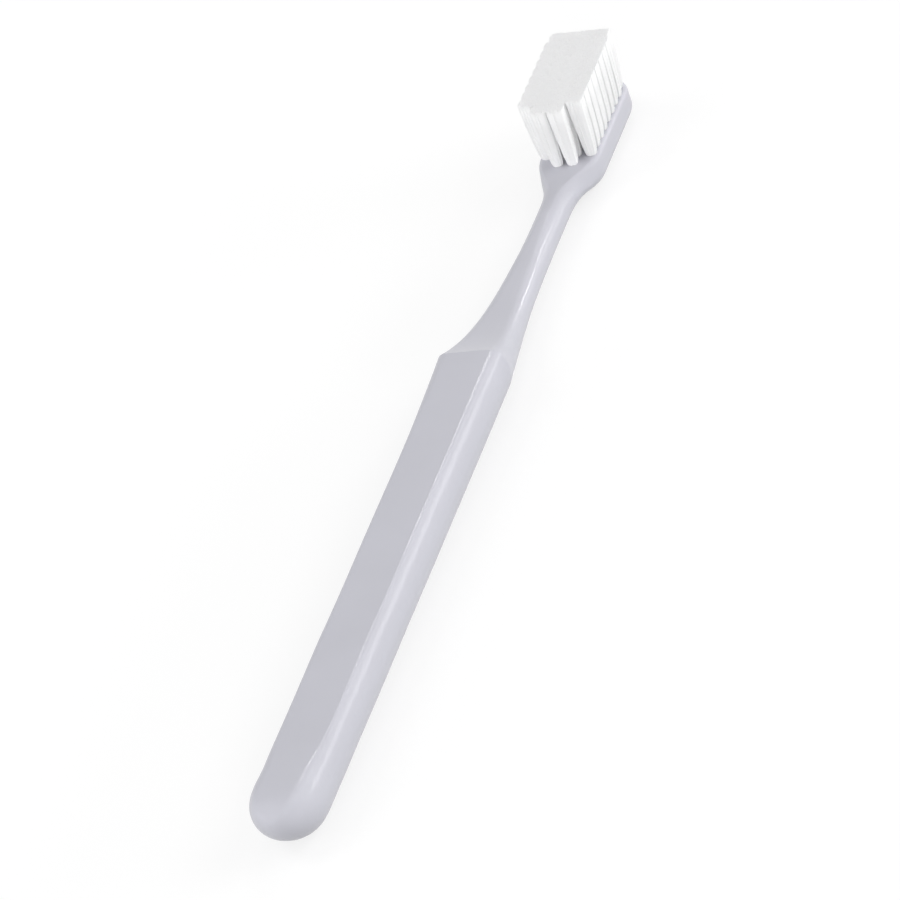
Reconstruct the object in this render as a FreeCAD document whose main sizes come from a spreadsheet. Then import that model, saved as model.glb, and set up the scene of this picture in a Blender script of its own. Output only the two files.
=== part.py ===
import FreeCAD, Part
import math
import os
import Sketcher

V = FreeCAD.Vector

# Driving sizes in millimetres
SIZES = {
    # Grip: a round bar with a flat front, a slanted dome at the tail and a rise under the thumb
    "grip_length": 104.32,
    "grip_radius": 5.42,
    "front_flat": 3.886,
    "back_flat_half": 1.5,
    "edge_round": 0.6,
    "dome_length": 7.04,
    "dome_slant": 0.393,
    "tail_run": 19.0,
    "tail_rise": 0.36,
    "soft_round": 1.7,
    "thumb_run": 25.65,
    "thumb_rise": 0.32,
    "thumb_swell": 0.27,
    "thumb_lift": 0.57,
    # Neck: a thin round rod set towards the back, flaring into the grip
    "neck_length": 44.01,
    "neck_radius": 2.38,
    "neck_back": 0.74,
    "neck_flat": 0.03,
    "neck_straight": 2.81,
    "flare_power": 2.41,
    "front_power": 4.47,
    # Head: a thick plate with a flat face, a rounded back and a thinner heel that sweeps out of the neck
    "face_step": 0.09,
    "head_thickness": 5.01,
    "heel_length": 8.67,
    "heel_half": 1.55,
    "heel_sweep": 13.5,
    "heel_bend": 14.4,
    "heel_thin": 0.53,
    "back_round": 2.16,
    "face_round": 0.85,
    "side_margin": 0.52,
    # Tufts: straight bundles of filament folded round a metal anchor
    "heel_to_row": 8.8,
    "row_pitch": 2.186,
    "column_pitch": 2.44,
    "tip_row_pitch": 2.2,
    "row_to_tip": 3.45,
    "tuft_radius": 0.85,
    "tuft_gap": 0.09,
    "tuft_height": 10.4,
    "hole_depth": 3.4,
    "fit_clearance": 0.02,
    "anchor_thickness": 0.25,
    "anchor_height": 1.6,
    "anchor_bite": 0.15,
    "anchor_lift": 0.6,
}
FULL_ROWS = 8
COLUMNS = 4
HEEL_TUFTS = 2

doc = FreeCAD.newDocument("toothbrush")
sheet = doc.addObject("Spreadsheet::Sheet", "Sizes")
for line, (alias, value) in enumerate(SIZES.items(), start=1):
    sheet.set("A%d" % line, alias)
    sheet.set("B%d" % line, str(value))
    sheet.setAlias("B%d" % line, alias)
doc.recompute()


def size(alias):
    return float(sheet.get(alias))


def smooth(low, high, value):
    """Rises from 0 to 1 between low and high with level ends."""
    part = min(max((value - low) / (high - low), 0.0), 1.0)
    return part * part * (3.0 - 2.0 * part)


# Places along the brush, from the tail's end
grip_radius = size("grip_radius")
neck_radius = size("neck_radius")
shoulder = size("grip_length")
heel = shoulder + size("neck_length")
first_row = heel + size("heel_to_row")
last_row = first_row + (FULL_ROWS + 1) * size("row_pitch")
total = last_row + size("row_to_tip")
LENGTH = (
    "(Sizes.grip_length + Sizes.neck_length + Sizes.heel_to_row"
    " + %d * Sizes.row_pitch + Sizes.row_to_tip)" % (FULL_ROWS + 1)
)

# Heights: zero is the grip's axis inside the handle body, and AXIS is its height above the back flat
AXIS = "sqrt(Sizes.grip_radius ^ 2 - Sizes.back_flat_half ^ 2)"
neck_low = size("neck_back") - grip_radius
face = neck_low + 2.0 * neck_radius + size("face_step")
FACE = "(Sizes.neck_back - Sizes.grip_radius + 2 * Sizes.neck_radius + Sizes.face_step)"
head_low = face - size("head_thickness")
hole_radius = size("tuft_radius") + size("fit_clearance")
head_half = (COLUMNS - 1) / 2.0 * size("column_pitch") + hole_radius + size("side_margin")

# Tuft places: two at the heel, then full rows, then a closer row at the tip
tuft_rows = []
for row in range(FULL_ROWS + 2):
    count = HEEL_TUFTS if row == 0 else COLUMNS
    pitch = "tip_row_pitch" if row == FULL_ROWS + 1 else "column_pitch"
    along = first_row + row * size("row_pitch")
    spots = [(along, (index - (count - 1) / 2.0) * size(pitch)) for index in range(count)]
    tuft_rows.append(spots)

# The handle is one moulding: grip, neck and head
body = doc.addObject("PartDesign::Body", "handle_moulding")
body.Label = "handle_moulding"
body.setExpression("Placement.Base.x", "-" + LENGTH + " / 2")
body.setExpression("Placement.Base.z", AXIS)


def origin_plane(role):
    for feature in body.Origin.OriginFeatures:
        if feature.Role == role:
            return feature
    raise RuntimeError("no plane " + role)


def new_sketch(name, role, offset):
    """A sketch on one of the body's origin planes, moved along its normal."""
    sketch = body.newObject("Sketcher::SketchObject", name)
    sketch.AttachmentSupport = (origin_plane(role), [""])
    sketch.MapMode = "FlatFace"
    if isinstance(offset, str):
        sketch.setExpression("AttachmentOffset.Base.z", offset)
    else:
        sketch.AttachmentOffset = FreeCAD.Placement(V(0, 0, offset), FreeCAD.Rotation())
    return sketch


# Points on a section's flat, on each of its upper corners and round the rest
FLAT_POINTS = 5
CORNER_POINTS = 8
LOW_POINTS = 30


def shares(count):
    return [(index + 0.5) / count for index in range(count)]


def flat_and_corners(half, top, corner, turn):
    """The flat's points, then those of its right and left corners, which turn down by an angle."""
    flat = [(half * (2.0 * share - 1.0), top) for share in shares(FLAT_POINTS)]
    right = []
    for share in shares(CORNER_POINTS):
        angle = turn * share
        right.append((half + corner * math.sin(angle), top - corner + corner * math.cos(angle)))
    left = [(-y, z) for y, z in reversed(right)]
    return flat, right, left


def flatted_round(radius, centre, flat, corner):
    """Points round a circle cut by a flat on top, with its two corners rounded."""
    half = math.sqrt((radius - corner) ** 2 - (flat - corner) ** 2)
    turn = math.atan2(half, flat - corner)
    top, right, left = flat_and_corners(half, centre + flat, corner, turn)
    low = []
    for share in shares(LOW_POINTS):
        angle = turn + (2.0 * math.pi - 2.0 * turn) * share
        low.append((radius * math.sin(angle), centre + radius * math.cos(angle)))
    return top + right + low + left


def rounded_box(half, top, low, top_round, low_round):
    """Points round a box with rounded corners, in the order of a flatted round."""
    flat, right, left = flat_and_corners(half - top_round, top, top_round, math.pi / 2.0)
    wall = top - top_round - low - low_round
    arc = math.pi / 2.0 * low_round
    whole = 2.0 * (wall + arc + half - low_round)
    rest = []
    for share in shares(LOW_POINTS):
        run = whole * min(share, 1.0 - share)
        angle = min(max((run - wall) / low_round, 0.0), math.pi / 2.0)
        y = half - low_round + low_round * math.cos(angle) - max(run - wall - arc, 0.0)
        z = top - top_round - min(run, wall) - low_round * math.sin(angle)
        rest.append((math.copysign(y, 0.5 - share), z))
    return flat + right + rest + left


def closed_curve(points):
    poles = [V(y, z, 0) for y, z in points]
    curve = Part.BSplineCurve()
    count = len(poles)
    curve.buildFromPolesMultsKnots(poles, [1] * (count + 1), list(range(count + 1)), True, 3)
    return curve


def add_loft(name, stations):
    """A loft along the brush through sections given as (place, points)."""
    sketches = []
    for index, (along, points) in enumerate(stations):
        sketch = new_sketch("%s_section_%02d" % (name, index), "YZ_Plane", along)
        sketch.addGeometry(closed_curve(points), False)
        sketches.append(sketch)
    doc.recompute()
    loft = body.newObject("PartDesign::AdditiveLoft", name)
    loft.Profile = sketches[0]
    loft.Sections = sketches[1:]
    loft.Ruled = False
    body.Tip = loft
    doc.recompute()


# Neck: flatted rounds from the shoulder to a thin rod
flare_length = size("neck_length") - size("neck_straight")
shoulder_radius = grip_radius + size("thumb_swell")
shoulder_low = size("thumb_lift") - shoulder_radius
shoulder_flat = size("front_flat") + size("thumb_rise")
neck_top = neck_low + 2.0 * neck_radius - size("neck_flat")
# Share of the flare between which its underside rises to the neck's
SET_IN = (0.147, 0.537)


def neck_section(part):
    """The section at a share of the flare's length."""
    side_flare = (1.0 - part) ** size("flare_power")
    front_flare = (1.0 - part) ** size("front_power")
    radius = neck_radius + (shoulder_radius - neck_radius) * side_flare
    low = shoulder_low + (neck_low - shoulder_low) * smooth(*SET_IN, part)
    top = neck_top + (shoulder_flat - neck_top) * front_flare
    centre = low + radius
    return flatted_round(radius, centre, top - centre, min(size("soft_round"), 0.6 * radius))


# Head outline: an arc out of the neck, a straight taper, an arc into the sides and a round tip
taper = math.atan2(head_half - size("heel_half"), size("heel_length"))
taper_start = heel + (neck_radius - size("heel_half")) / math.tan(taper)
taper_end = heel + size("heel_length")
largest = 0.49 * (taper_end - taper_start) / (math.cos(taper) * math.tan(taper / 2.0))
sweep = min(size("heel_sweep"), largest)
bend = min(size("heel_bend"), largest)
sweep_start = taper_start - sweep * math.tan(taper / 2.0)
bend_end = taper_end + bend * math.tan(taper / 2.0)
tip_centre = total - head_half


def half_width(along):
    if along < sweep_start + sweep * math.sin(taper):
        return neck_radius + sweep - math.sqrt(sweep ** 2 - max(along - sweep_start, 0.0) ** 2)
    if along < bend_end - bend * math.sin(taper):
        return size("heel_half") + (along - heel) * math.tan(taper)
    return head_half - bend + math.sqrt(bend ** 2 - max(bend_end - along, 0.0) ** 2)


def round_end(along, radius):
    """Falls from 1 to 0 along a quarter circle that ends at the tip."""
    into = max(along - total + radius, 0.0) / radius
    return math.sqrt(max(1.0 - into ** 2, 0.0))


rod = neck_section(1.0)
plate = rounded_box(head_half, face, head_low, size("face_round"), size("back_round"))
rod_centre = neck_low + neck_radius


def head_section(along):
    """The rod's section growing into the plate's, thinner at the heel and closing round the tip."""
    share = (half_width(along) - neck_radius) / (head_half - neck_radius)
    thin = size("heel_thin") * math.sin(math.pi * share)
    top_fall = size("face_round") * (1.0 - round_end(along, size("face_round")))
    low_rise = size("back_round") * (1.0 - round_end(along, size("back_round")))
    points = []
    for (rod_y, rod_z), (plate_y, plate_z) in zip(rod, plate):
        y = (rod_y + (plate_y - rod_y) * share) * round_end(along, head_half)
        z = rod_z + (plate_z - rod_z) * share
        above = z - rod_centre
        if above > 0.0:
            z -= top_fall * above / (face - rod_centre)
        else:
            z -= (thin / neck_radius + low_rise / (rod_centre - head_low)) * above
        points.append((y, z))
    return points


def spread(first, last, steps):
    return [first + (last - first) * step for step in steps]


flare_steps = [0.0, 0.04, 0.085, 0.14, 0.2, 0.27, 0.35, 0.43, 0.51, 0.59, 0.67, 0.75, 0.82, 0.885, 0.945, 1.0]
rod_and_head = [(shoulder + flare_length * part, neck_section(part)) for part in flare_steps]
head_places = spread(sweep_start, bend_end, [step / 9.0 for step in range(10)])
head_places += spread(bend_end, tip_centre, [step / 11.0 for step in range(1, 12)])
tip_turns = [18.0, 34.0, 48.0, 60.0, 70.0, 78.0, 84.0, 88.0]
head_places += [tip_centre + head_half * math.sin(math.radians(turn)) for turn in tip_turns]
rod_and_head += [(along, head_section(along)) for along in head_places]
add_loft("neck_and_head", rod_and_head)

# Blind tuft holes, cut from above the head's face
OVERCUT = 1.0
holes = new_sketch("tuft_holes", "XY_Plane", "%s + %g" % (FACE, OVERCUT))
for spots in tuft_rows:
    for along, across in spots:
        ring = holes.addGeometry(Part.Circle(V(along, across, 0), V(0, 0, 1), hole_radius), False)
        mark = holes.addConstraint(Sketcher.Constraint("Radius", ring, hole_radius))
        holes.setExpression("Constraints[%d]" % mark, "Sizes.tuft_radius + Sizes.fit_clearance")
doc.recompute()
hole_cut = body.newObject("PartDesign::Pocket", "tuft_hole_cut")
hole_cut.Profile = holes
hole_cut.setExpression("Length", "Sizes.hole_depth + %g" % OVERCUT)
body.Tip = hole_cut
doc.recompute()

# Grip: from the shoulder back to the tail's slanted dome
dome_length = size("dome_length")
slant = size("dome_slant")
dome_centre = math.sqrt(dome_length ** 2 + (slant * grip_radius) ** 2)
dome_full = dome_centre + slant * grip_radius + 0.3
dome_ratio = (size("front_flat") + size("tail_rise")) / grip_radius


def grip_station(along):
    thumb = max(0.0, (along - shoulder) / size("thumb_run") + 1.0) ** 2
    tail = max(0.0, (size("tail_run") - along) / (size("tail_run") - dome_full)) ** 2
    radius = grip_radius + size("thumb_swell") * thumb
    centre = size("thumb_lift") * thumb
    flat = size("front_flat") + size("thumb_rise") * thumb + size("tail_rise") * tail
    ends = 1.0 - smooth(dome_full, size("tail_run"), along)
    ends += smooth(shoulder - size("thumb_run"), shoulder, along)
    corner = size("edge_round") + (size("soft_round") - size("edge_round")) * ends
    return along, flatted_round(radius, centre, flat - centre, corner)


def dome_station(along):
    reach = along - dome_centre
    stretch = 1.0 / grip_radius ** 2 + (slant / dome_length) ** 2
    shift = reach * slant / dome_length ** 2
    radius = grip_radius * math.sqrt(max(1.0 - (reach / dome_length) ** 2 + shift ** 2 / stretch, 0.0))
    corner = size("soft_round") * radius / grip_radius
    return along, flatted_round(radius, -shift / stretch, dome_ratio * radius, corner)


thumb_start = shoulder - size("thumb_run")
grip_places = [shoulder - step * size("thumb_run") for step in (0.0, 0.25, 0.5, 0.75, 1.0)]
middle = thumb_start - 2.0 * size("tail_run")
grip_places += [2.0 * size("tail_run") + middle * step for step in (0.85, 0.5, 0.15)]
grip_places += [1.5 * size("tail_run"), size("tail_run"), 0.72 * size("tail_run"), dome_full]
grip_stations = [grip_station(along) for along in grip_places]
dome_places = [dome_centre * (1.0 - math.cos(math.radians(angle))) for angle in (70, 55, 40, 26, 14, 5)]
grip_stations += [dome_station(along) for along in dome_places]
add_loft("grip", grip_stations)

# Narrow flat along the back, for lying on
back = new_sketch("back_outline", "XY_Plane", "-" + AXIS)
rim = 2.0 * grip_radius
back_points = [V(-rim, -rim, 0), V(total + rim, -rim, 0), V(total + rim, rim, 0), V(-rim, rim, 0)]
for index, point in enumerate(back_points):
    back.addGeometry(Part.LineSegment(point, back_points[(index + 1) % 4]), False)
doc.recompute()
back_cut = body.newObject("PartDesign::Pocket", "back_flat")
back_cut.Profile = back
back_cut.Type = "ThroughAll"
body.Tip = back_cut
doc.recompute()

# Tufts and anchors stand in the finished frame: middle of the length, back flat at zero
FLOOR = "(" + AXIS + " + " + FACE + " - Sizes.hole_depth)"
TOP = "(" + AXIS + " + " + FACE + ")"
ANCHOR_LENGTH = "(2 * (Sizes.tuft_radius + Sizes.fit_clearance + Sizes.anchor_bite))"
TIP_RADIUS = "((min(Sizes.row_pitch; Sizes.tip_row_pitch; Sizes.column_pitch) - Sizes.tuft_gap) / 2)"


def place(item, along, across, height):
    item.setExpression("Placement.Base.x", "%s - %s / 2" % (along, LENGTH))
    item.setExpression("Placement.Base.y", across)
    item.setExpression("Placement.Base.z", height)


def bar(name, along, across, spare):
    """An anchor plate across the brush, grown by spare on every side."""
    item = doc.addObject("Part::Box", name)
    item.setExpression("Length", "Sizes.anchor_thickness + 2 * (%s)" % spare)
    item.setExpression("Width", "%s + 2 * (%s)" % (ANCHOR_LENGTH, spare))
    item.setExpression("Height", "Sizes.anchor_height + 2 * (%s)" % spare)
    place(
        item,
        "%s - Sizes.anchor_thickness / 2 - (%s)" % (along, spare),
        "%s - %s / 2 - (%s)" % (across, ANCHOR_LENGTH, spare),
        "%s + Sizes.anchor_lift - (%s)" % (FLOOR, spare),
    )
    return item


def bundle(name, along, across, slot):
    """A tuft: straight root in its hole, opening towards the trimmed end, slotted round its anchor."""
    root = doc.addObject("Part::Cylinder", name + "_root")
    root.setExpression("Radius", "Sizes.tuft_radius")
    root.setExpression("Height", "Sizes.hole_depth - Sizes.fit_clearance")
    place(root, along, across, "%s + Sizes.fit_clearance" % FLOOR)
    spread = doc.addObject("Part::Cone", name + "_spread")
    spread.setExpression("Radius1", "Sizes.tuft_radius")
    spread.setExpression("Radius2", TIP_RADIUS)
    spread.setExpression("Height", "Sizes.tuft_height")
    place(spread, along, across, TOP)
    whole = doc.addObject("Part::Fuse", name + "_whole")
    whole.Base = root
    whole.Tool = spread
    tuft = doc.addObject("Part::Cut", name)
    tuft.Base = whole
    tuft.Tool = slot
    tuft.Label = name
    return tuft


finished = []
slots = []
for row, spots in enumerate(tuft_rows):
    anchors = []
    pitch = "Sizes.tip_row_pitch" if row == FULL_ROWS + 1 else "Sizes.column_pitch"
    along = "(Sizes.grip_length + Sizes.neck_length + Sizes.heel_to_row + %d * Sizes.row_pitch)" % row
    for column in range(len(spots)):
        across = "(%.1f * %s)" % (column - (len(spots) - 1) / 2.0, pitch)
        mark = "%02d_%d" % (row + 1, column + 1)
        slot = bar("slot_" + mark, along, across, "Sizes.fit_clearance")
        slots.append(slot)
        anchors.append(bar("anchor_" + mark, along, across, "0"))
        finished.append(bundle("tuft_" + mark, along, across, slot))
    group = doc.addObject("Part::Compound", "anchors_row_%02d" % (row + 1))
    group.Label = group.Name
    group.Links = anchors
    finished.append(group)

# The anchors bite into the head beside their holes
bites = doc.addObject("Part::Compound", "anchor_bites")
bites.Links = slots
handle = doc.addObject("Part::Cut", "handle")
handle.Label = "handle"
handle.Base = body
handle.Tool = bites
finished.append(handle)
doc.recompute()

# Every shape is sound before it is written
for item in doc.Objects:
    if "Invalid" in item.State or "Error" in item.State:
        raise RuntimeError("%s is %s" % (item.Name, item.State))
for item in finished:
    if item.Shape.isNull() or not item.Shape.isValid():
        raise RuntimeError("%s has no sound shape" % item.Label)

os.makedirs("parts", exist_ok=True)
for item in finished:
    item.Shape.exportStep("parts/%s.step" % item.Label)
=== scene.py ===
import math
import random

import bpy
from mathutils import Matrix, Vector


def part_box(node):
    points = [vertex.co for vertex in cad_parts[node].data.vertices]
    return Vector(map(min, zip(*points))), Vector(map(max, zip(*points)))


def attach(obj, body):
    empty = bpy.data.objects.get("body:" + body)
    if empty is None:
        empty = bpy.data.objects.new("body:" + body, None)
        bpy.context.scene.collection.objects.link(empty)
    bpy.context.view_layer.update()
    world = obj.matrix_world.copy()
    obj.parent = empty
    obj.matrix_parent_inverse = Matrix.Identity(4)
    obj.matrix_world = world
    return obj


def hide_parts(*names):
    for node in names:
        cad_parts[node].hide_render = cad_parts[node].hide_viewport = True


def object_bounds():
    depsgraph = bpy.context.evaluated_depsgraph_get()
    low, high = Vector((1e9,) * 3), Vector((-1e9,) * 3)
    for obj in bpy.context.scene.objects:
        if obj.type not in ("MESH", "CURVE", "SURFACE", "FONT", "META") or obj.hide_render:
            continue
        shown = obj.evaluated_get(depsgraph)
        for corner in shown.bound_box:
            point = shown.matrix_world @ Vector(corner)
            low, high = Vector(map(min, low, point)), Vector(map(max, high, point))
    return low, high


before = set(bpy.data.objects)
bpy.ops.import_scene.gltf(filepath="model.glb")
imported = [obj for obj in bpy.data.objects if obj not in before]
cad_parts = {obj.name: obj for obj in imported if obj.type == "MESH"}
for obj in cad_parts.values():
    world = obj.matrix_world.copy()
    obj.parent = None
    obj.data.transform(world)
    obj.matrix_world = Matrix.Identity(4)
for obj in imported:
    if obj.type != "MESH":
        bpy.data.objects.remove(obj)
cad_low, cad_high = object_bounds()

MM = 0.001
RANDOM_SEED = 7
scene = bpy.context.scene
scene.view_settings.view_transform = "Standard"
random.seed(RANDOM_SEED)

# Camera: the photograph's viewing angle, with a long lens
SENSOR = 36.0
LENS = 292.4
CLIP_START = 0.05
CLIP_END = 20.0
CAMERA_RIGHT = Vector((0.2654, -0.9187, -0.2926))
CAMERA_UP = Vector((0.6166, -0.0716, 0.7840))
CAMERA_BACK = Vector((-0.7412, -0.3885, 0.5475))
TARGET = Vector((-0.594, 0.0, 5.210)) * MM
DISTANCE = 1070.3 * MM
SIDE_STEP = 0.152 * MM
DOWN_STEP = 2.149 * MM

camera_data = bpy.data.cameras.new("camera")
camera_data.sensor_width = SENSOR
camera_data.lens = LENS
camera_data.clip_start = CLIP_START
camera_data.clip_end = CLIP_END
camera = bpy.data.objects.new("camera", camera_data)
scene.collection.objects.link(camera)
camera_turn = Matrix((CAMERA_RIGHT, CAMERA_UP, CAMERA_BACK)).transposed()
camera.rotation_mode = "QUATERNION"
camera.rotation_quaternion = camera_turn.to_quaternion()
camera.location = TARGET + DISTANCE * CAMERA_BACK + SIDE_STEP * CAMERA_RIGHT - DOWN_STEP * CAMERA_UP
scene.camera = camera


def clear_tree(owner):
    """The emptied node tree of a world or material."""
    owner.use_nodes = True
    owner.node_tree.nodes.clear()
    return owner.node_tree


def add(tree, kind, **inputs):
    """A new node with inputs set by name, where an underscore stands for a space."""
    node = tree.nodes.new(kind)
    for name, value in inputs.items():
        node.inputs[name.replace("_", " ")].default_value = value
    return node


def calculate(tree, operation, *terms):
    """The result of a math node whose terms are numbers or outputs of other nodes."""
    node = tree.nodes.new("ShaderNodeMath")
    node.operation = operation
    for socket, term in zip(node.inputs, terms):
        if isinstance(term, float):
            socket.default_value = term
        else:
            tree.links.new(term, socket)
    return node.outputs[0]


def noise(tree, vector, scale, detail, roughness):
    """The grey pattern of a noise texture, placed by a vector or by the piece's own box."""
    node = add(tree, "ShaderNodeTexNoise", Scale=scale, Detail=detail, Roughness=roughness)
    if vector is not None:
        tree.links.new(vector, node.inputs["Vector"])
    return node.outputs["Fac"]


def tinted(tree, factor, low, high, start=0.0, end=1.0):
    """A colour that goes from low to high while the factor goes from start to end."""
    ramp = tree.nodes.new("ShaderNodeValToRGB")
    for element, position, colour in zip(ramp.color_ramp.elements, (start, end), (low, high)):
        element.position = position
        element.color = colour
    tree.links.new(factor, ramp.inputs["Fac"])
    return ramp.outputs["Color"]


def show(tree, kind, surface):
    """Connects a surface to the tree's output node."""
    out = tree.nodes.new(kind)
    tree.links.new(surface, out.inputs["Surface"])


def seen_rays(tree):
    """1 for rays that see the background directly, in a mirror or through glass."""
    path = tree.nodes.new("ShaderNodeLightPath")
    total = path.outputs["Is Camera Ray"]
    for name in ("Is Glossy Ray", "Is Transmission Ray"):
        total = calculate(tree, "MAXIMUM", total, path.outputs[name])
    return total


def choose(tree, factor, first, second):
    """The first shader where the factor is 0 and the second where it is 1."""
    mix = tree.nodes.new("ShaderNodeMixShader")
    for socket, term in zip(mix.inputs, (factor, first, second)):
        tree.links.new(term, socket)
    return mix.outputs[0]


# World: plain soft light from all round, white where it is seen
AMBIENT = 0.36
WHITE = (1.0, 1.0, 1.0, 1.0)
world = bpy.data.worlds.new("studio")
scene.world = world
tree = clear_tree(world)
dim = add(tree, "ShaderNodeBackground", Color=WHITE, Strength=AMBIENT)
bright = add(tree, "ShaderNodeBackground", Color=WHITE, Strength=1.0)
show(tree, "ShaderNodeOutputWorld", choose(tree, seen_rays(tree), dim.outputs[0], bright.outputs[0]))

# Floor: grey and matt, lifted to white where it is seen, with a soft shadow
FLOOR_HALF = 2.0
FLOOR_DROP = 0.05 * MM
FLOOR_TONE = (0.3, 0.3, 0.3, 1.0)
FLOOR_LIFT = 0.74
floor_low = cad_low.z - FLOOR_DROP
corners = [(-1, -1), (1, -1), (1, 1), (-1, 1)]
floor_points = [(x * FLOOR_HALF, y * FLOOR_HALF, floor_low) for x, y in corners]
floor_mesh = bpy.data.meshes.new("floor")
floor_mesh.from_pydata(floor_points, [], [(0, 1, 2, 3)])
floor = bpy.data.objects.new("floor", floor_mesh)
scene.collection.objects.link(floor)
floor_material = bpy.data.materials.new("floor_pale")
tree = clear_tree(floor_material)
matt = add(tree, "ShaderNodeBsdfDiffuse", Color=FLOOR_TONE)
glow = add(tree, "ShaderNodeEmission", Color=WHITE, Strength=FLOOR_LIFT)
lifted = tree.nodes.new("ShaderNodeAddShader")
tree.links.new(matt.outputs[0], lifted.inputs[0])
tree.links.new(glow.outputs[0], lifted.inputs[1])
show(tree, "ShaderNodeOutputMaterial", choose(tree, seen_rays(tree), matt.outputs[0], lifted.outputs[0]))
floor_mesh.materials.append(floor_material)

# Lamps: broad boxes that light the brush, and three smaller ones that also show in its gloss
LAMP_DISTANCE = 1.2
# Name, azimuth and elevation in degrees, width and height in metres, level, and whether it shows in gloss
LAMPS = (
    ("side_box", -75.0, 9.0, 0.80, 0.34, 0.41, False),
    ("high_box", -70.0, 40.0, 0.80, 0.60, 0.17, False),
    ("front_box", 195.0, 12.0, 0.80, 0.48, 0.48, False),
    ("left_box", 125.0, 14.0, 0.80, 0.56, 0.26, False),
    ("top_box", 100.0, 55.0, 0.60, 0.60, 0.20, False),
    ("band_box", -42.0, 5.0, 0.60, 0.18, 0.10, True),
    ("edge_strip", 2.0, 43.0, 0.30, 0.05, 0.07, True),
    ("neck_strip", -24.0, 18.0, 0.35, 0.05, 0.13, True),
)


def soft_box(name, azimuth, elevation, width, height, level, mirrored):
    """An area lamp, whose level of 1 lights a white face square to it to about full white."""
    turn_round = math.radians(azimuth)
    rise = math.radians(elevation)
    flat = math.cos(rise)
    towards = Vector((flat * math.cos(turn_round), flat * math.sin(turn_round), math.sin(rise)))
    data = bpy.data.lights.new(name, "AREA")
    data.shape = "RECTANGLE"
    data.size = width
    data.size_y = height
    data.energy = level * (math.pi * LAMP_DISTANCE) ** 2
    lamp = bpy.data.objects.new(name, data)
    scene.collection.objects.link(lamp)
    lamp.location = towards * LAMP_DISTANCE
    lamp.rotation_mode = "QUATERNION"
    lamp.rotation_quaternion = towards.to_track_quat("Z", "Y")
    lamp.visible_camera = False
    lamp.visible_glossy = mirrored


for lamp_row in LAMPS:
    soft_box(*lamp_row)

# Handle plastic: pale lavender grey, satin under a thin gloss
PLASTIC_LOW = (0.556, 0.556, 0.611, 1.0)
PLASTIC_HIGH = (0.577, 0.577, 0.634, 1.0)
PLASTIC_IOR = 1.46
PLASTIC_SPECULAR = 0.25
COAT_WEIGHT = 0.35
COAT_ROUGHNESS = 0.15
SATIN_LOW = 0.42
SATIN_HIGH = 0.5
CLOUD_SCALE = 90.0
CLOUD_START = 0.3
CLOUD_END = 0.7
GRAIN_SCALE = 2600.0
GRAIN_STRENGTH = 0.03
GRAIN_DEPTH = 0.04 * MM
plastic = bpy.data.materials.new("handle_plastic")
tree = clear_tree(plastic)
shader = add(
    tree,
    "ShaderNodeBsdfPrincipled",
    IOR=PLASTIC_IOR,
    Specular_IOR_Level=PLASTIC_SPECULAR,
    Coat_Weight=COAT_WEIGHT,
    Coat_Roughness=COAT_ROUGHNESS,
)
place = tree.nodes.new("ShaderNodeTexCoord").outputs["Object"]
cloud = noise(tree, place, CLOUD_SCALE, 3.0, 0.5)
colour = tinted(tree, cloud, PLASTIC_LOW, PLASTIC_HIGH, CLOUD_START, CLOUD_END)
tree.links.new(colour, shader.inputs["Base Color"])
grain = noise(tree, place, GRAIN_SCALE, 2.0, 0.55)
bump = add(tree, "ShaderNodeBump", Strength=GRAIN_STRENGTH, Distance=GRAIN_DEPTH)
tree.links.new(grain, bump.inputs["Height"])
tree.links.new(bump.outputs["Normal"], shader.inputs["Normal"])
gloss = add(
    tree,
    "ShaderNodeMapRange",
    From_Min=CLOUD_START,
    From_Max=CLOUD_END,
    To_Min=SATIN_LOW,
    To_Max=SATIN_HIGH,
)
tree.links.new(cloud, gloss.inputs["Value"])
tree.links.new(gloss.outputs["Result"], shader.inputs["Roughness"])
show(tree, "ShaderNodeOutputMaterial", shader.outputs["BSDF"])

# Bristle nylon: white filament, each one a little lighter or greyer, with faint streaks along it; the
# greyer filaments and the streaks are partly the nylon's own tone and partly painted shade, in place of
# the shade between filaments
NYLON_LOW = (0.92, 0.92, 0.925, 1.0)
NYLON_HIGH = (0.97, 0.97, 0.975, 1.0)
NYLON_ROUGHNESS = 0.45
NYLON_IOR = 1.53
SHADE_STREAK_SCALE = 1800.0
SHADE_STREAK_STRETCH = (1.0, 1.0, 0.12)
STRAND_SHARE = 0.5
SHADE_STREAK_SHARE = 0.5
nylon = bpy.data.materials.new("bristle_nylon")
tree = clear_tree(nylon)
shader = add(tree, "ShaderNodeBsdfPrincipled", Roughness=NYLON_ROUGHNESS, IOR=NYLON_IOR)
strand = tree.nodes.new("ShaderNodeAttribute")
strand.attribute_name = "strand"
place = tree.nodes.new("ShaderNodeTexCoord").outputs["Object"]
stretch = add(tree, "ShaderNodeMapping", Scale=SHADE_STREAK_STRETCH)
tree.links.new(place, stretch.inputs["Vector"])
# Painted shade: the streaks and the per-filament tones grey some filaments at random, standing in for the
# shade between filaments
shade_streak = noise(tree, stretch.outputs["Vector"], SHADE_STREAK_SCALE, 2.0, 0.5)
shade_streak_part = calculate(tree, "MULTIPLY", shade_streak, SHADE_STREAK_SHARE)
tone_and_shade = calculate(tree, "MULTIPLY_ADD", strand.outputs["Fac"], STRAND_SHARE, shade_streak_part)
tree.links.new(tinted(tree, tone_and_shade, NYLON_LOW, NYLON_HIGH), shader.inputs["Base Color"])
show(tree, "ShaderNodeOutputMaterial", shader.outputs["BSDF"])

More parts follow.
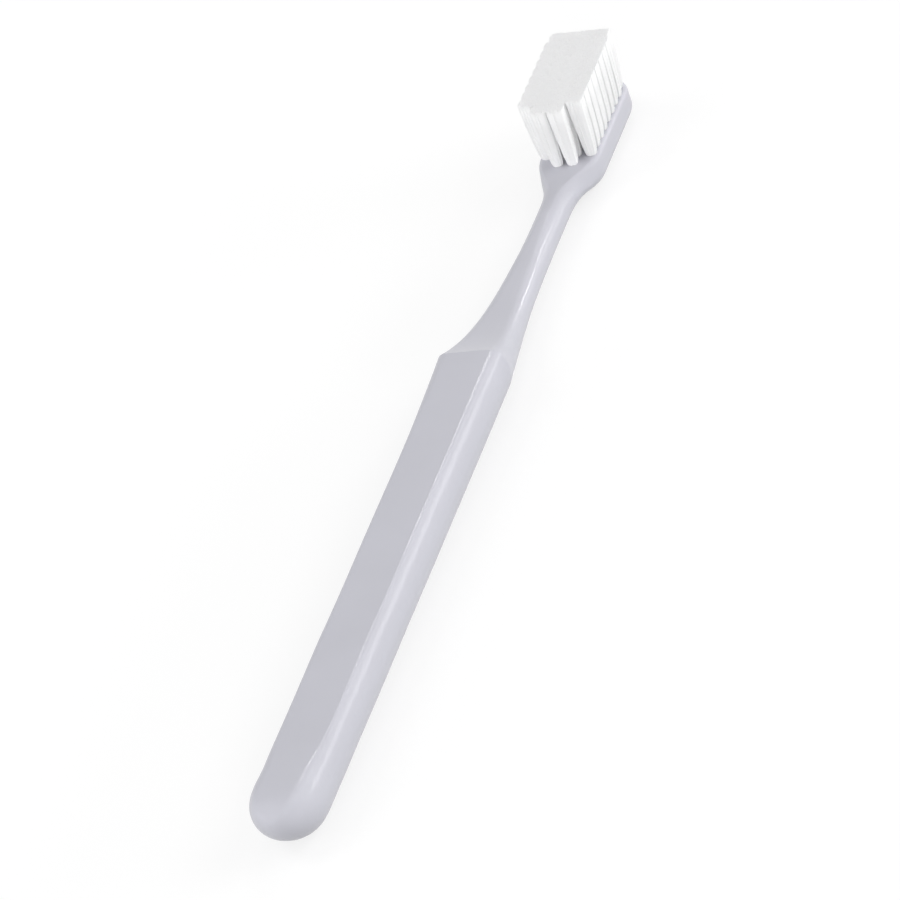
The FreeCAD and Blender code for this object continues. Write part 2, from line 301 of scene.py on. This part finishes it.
# Anchor metal: stamped brass strip inside the head
BRASS_LOW = (0.55, 0.42, 0.20, 1.0)
BRASS_HIGH = (0.70, 0.56, 0.30, 1.0)
BRASS_ROUGHNESS = 0.35
BRASS_SCALE = 900.0
brass = bpy.data.materials.new("anchor_metal")
tree = clear_tree(brass)
shader = add(tree, "ShaderNodeBsdfPrincipled", Metallic=1.0, Roughness=BRASS_ROUGHNESS)
mottle = noise(tree, None, BRASS_SCALE, 3.0, 0.5)
tree.links.new(tinted(tree, mottle, BRASS_LOW, BRASS_HIGH), shader.inputs["Base Color"])
show(tree, "ShaderNodeOutputMaterial", shader.outputs["BSDF"])


def dress(item, material):
    """Gives a piece one material."""
    item.data.materials.clear()
    item.data.materials.append(material)


dress(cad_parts["handle"], plastic)
for name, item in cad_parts.items():
    if name.startswith("anchors_"):
        dress(item, brass)

# Tufts: round bundles in their holes that open and close up to one another at the trimmed end
FILAMENTS = 110
FILAMENT_RADIUS = 0.11 * MM
SIDES = 6
END_ROUND = 0.4 * FILAMENT_RADIUS
END_NARROW = 0.75
TUFT_HEIGHT = 10.4 * MM
ROOT_RADIUS = 0.85 * MM
ROOT_DEPTH = 1.2 * MM
TIP_HALF_ALONG = 1.22 * MM
TIP_HALF_ACROSS = 1.46 * MM
TIP_SQUARENESS = 0.65
FAN_ACROSS = 0.07
OPENING = 0.5
TRIM_SCATTER = 0.06 * MM
TIP_SCATTER = 0.04 * MM
CORE_INSET = 0.09 * MM
CORE_DROP = 0.16 * MM
CORE_SIDES = 24
CORE_TONE = 0.5
SPINE_STEPS = (0.0, 0.11, 0.14, 0.2, 0.32, 0.5, 0.75, 1.0)
face_height = cad_high.z - TUFT_HEIGHT
trim_height = cad_high.z
tuft_names = sorted(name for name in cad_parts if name.startswith("tuft_"))
tuft_middles = {name: (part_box(name)[0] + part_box(name)[1]) / 2.0 for name in tuft_names}


def disc_points(count):
    """Points spread evenly over a unit disc, as distance and angle."""
    golden = math.pi * (3.0 - math.sqrt(5.0))
    return [(math.sqrt((index + 0.5) / count), index * golden) for index in range(count)]


def turns(sides):
    """Angles of evenly spaced points round a circle."""
    return [2.0 * math.pi * side / sides for side in range(sides)]


def opened(height):
    """How far a tuft has opened at a height: 0 at the face, 1 at the trimmed end."""
    return max(0.0, (height - face_height) / (trim_height - face_height)) ** OPENING


def tuft_point(middle, distance, angle, inset, height):
    """A point of a tuft: round at the root, squarer and fanned out at the tip, inset from the outside."""
    reach = max(abs(math.cos(angle)), abs(math.sin(angle))) ** -TIP_SQUARENESS
    along = distance * math.cos(angle)
    across = distance * math.sin(angle)
    tip_x = middle.x + (TIP_HALF_ALONG - inset) * reach * along
    tip_y = middle.y * (1.0 + FAN_ACROSS) + (TIP_HALF_ACROSS - inset) * reach * across
    root_x = middle.x + (ROOT_RADIUS - inset) * along
    root_y = middle.y + (ROOT_RADIUS - inset) * across
    spread = opened(height)
    return Vector((root_x + (tip_x - root_x) * spread, root_y + (tip_y - root_y) * spread, height))


def add_tube(points, faces, rings):
    """A closed tube through rings of points."""
    start = len(points)
    sides = len(rings[0])
    for ring in rings:
        points.extend(ring)
    for step in range(len(rings) - 1):
        for side in range(sides):
            low = start + step * sides
            after = (side + 1) % sides
            faces.append((low + side, low + after, low + sides + after, low + sides + side))
    faces.append(tuple(reversed(range(start, start + sides))))
    last = start + (len(rings) - 1) * sides
    faces.append(tuple(range(last, last + sides)))


def circle(middle, radius, sides):
    """Points of a level circle."""
    return [middle + Vector((math.cos(turn), math.sin(turn), 0.0)) * radius for turn in turns(sides)]


def make_tuft(name):
    """Filaments round a core, in place of a tuft's plain solid."""
    middle = tuft_middles[name]
    points = []
    faces = []
    tones_and_shade = []
    low = face_height - ROOT_DEPTH
    for distance, angle in disc_points(FILAMENTS):
        top = trim_height - END_ROUND - random.uniform(0.0, TRIM_SCATTER)
        stray = Vector((random.uniform(-1.0, 1.0), random.uniform(-1.0, 1.0), 0.0)) * TIP_SCATTER
        rings = []
        for step in SPINE_STEPS:
            height = low + (top - low) * step
            centre = tuft_point(middle, distance, angle, FILAMENT_RADIUS, height)
            centre = centre + stray * opened(height)
            rings.append(circle(centre, FILAMENT_RADIUS, SIDES))
        tip = centre + Vector((0.0, 0.0, END_ROUND))
        rings.append(circle(tip, END_NARROW * FILAMENT_RADIUS, SIDES))
        add_tube(points, faces, rings)
        # Each filament's random tone, partly its own and partly painted shade between filaments
        tones_and_shade += [random.random()] * (len(points) - len(tones_and_shade))
    rings = []
    for step in SPINE_STEPS:
        height = low + (trim_height - CORE_DROP - low) * step
        rings.append([tuft_point(middle, 1.0, turn, CORE_INSET, height) for turn in turns(CORE_SIDES)])
    add_tube(points, faces, rings)
    tones_and_shade += [CORE_TONE] * (len(points) - len(tones_and_shade))
    data = bpy.data.meshes.new(name.replace("tuft", "filaments"))
    data.from_pydata(points, [], faces)
    data.polygons.foreach_set("use_smooth", [len(face) == 4 for face in faces])
    data.attributes.new("strand", "FLOAT", "POINT").data.foreach_set("value", tones_and_shade)
    data.materials.append(nylon)
    piece = bpy.data.objects.new(data.name, data)
    scene.collection.objects.link(piece)
    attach(piece, "root")
    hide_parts(name)


for name in tuft_names:
    make_tuft(name)
